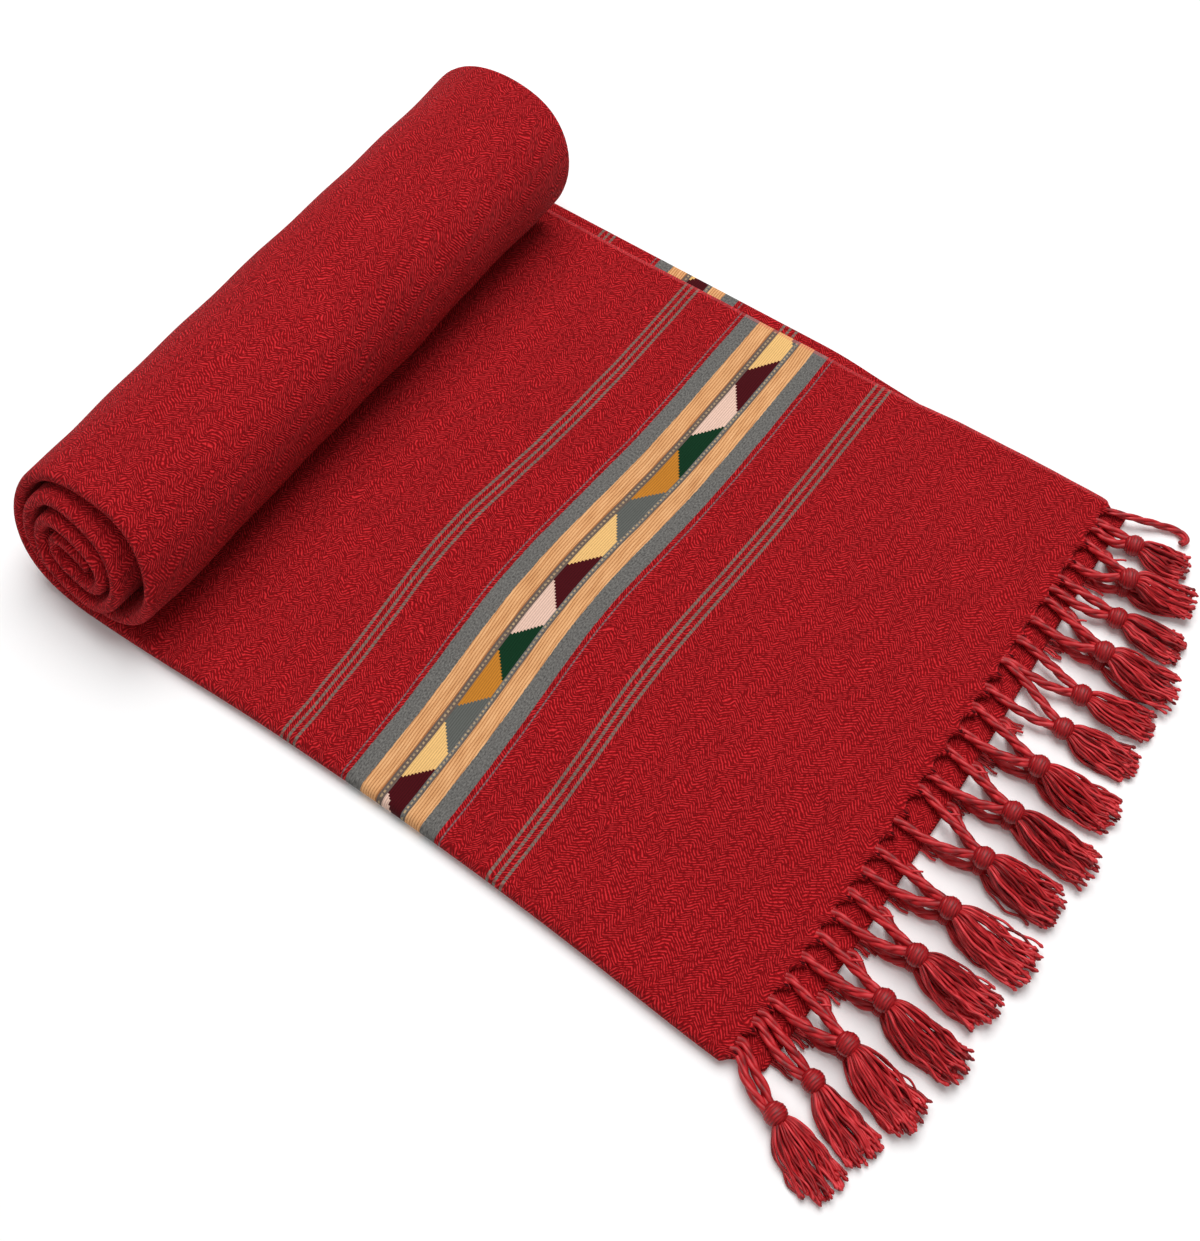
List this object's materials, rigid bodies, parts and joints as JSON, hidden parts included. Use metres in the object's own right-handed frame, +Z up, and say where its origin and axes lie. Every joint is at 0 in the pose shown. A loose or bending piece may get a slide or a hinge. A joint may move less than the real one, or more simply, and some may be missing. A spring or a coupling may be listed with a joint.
{
  "type": "folded muffler with a rolled end",
  "caption": "Woollen muffler folded lengthwise, far end rolled up on top, near hem with a knotted tassel fringe; lies flat on a surface.",
  "frame": {"origin": "centre of the bounding box's bottom face, on the surface that the muffler lies on", "axes": "+X along the length from the roll to the fringe, +Y from the fold edge to the two selvedges, +Z up"},
  "size_m": [0.2748, 0.2018, 0.0419],
  "materials": {
    "wool_cloth": "napped red wool in a herringbone weave with woven cross stripes",
    "wool_fringe": "twisted red wool yarn"
  },
  "bodies": {
    "root": {"top_layer": "wool_cloth", "under_layer": "wool_cloth", "roll_outer_turn": "wool_cloth", "roll_inner_turns": "wool_cloth", "tassel_01": "wool_fringe", "tassel_02": "wool_fringe", "tassel_03": "wool_fringe", "tassel_04": "wool_fringe", "tassel_05": "wool_fringe", "tassel_06": "wool_fringe", "tassel_07": "wool_fringe", "tassel_08": "wool_fringe", "tassel_09": "wool_fringe", "tassel_10": "wool_fringe", "tassel_11": "wool_fringe", "tassel_12": "wool_fringe", "tassel_13": "wool_fringe", "tassel_14": "wool_fringe", "tassel_15": "wool_fringe", "under_tassel_03": "wool_fringe", "under_tassel_04": "wool_fringe", "under_tassel_05": "wool_fringe", "under_tassel_06": "wool_fringe", "under_tassel_07": "wool_fringe", "under_tassel_08": "wool_fringe", "under_tassel_09": "wool_fringe", "under_tassel_12": "wool_fringe", "under_tassel_14": "wool_fringe", "thread_stub_01": "wool_fringe", "thread_stub_02": "wool_fringe", "thread_stub_03": "wool_fringe", "thread_stub_04": "wool_fringe", "thread_stub_05": "wool_fringe", "thread_stub_06": "wool_fringe", "thread_stub_07": "wool_fringe", "thread_stub_08": "wool_fringe", "thread_stub_09": "wool_fringe", "thread_stub_10": "wool_fringe", "thread_stub_11": "wool_fringe", "end_cord": "wool_fringe"}
  },
  "joints": []
}
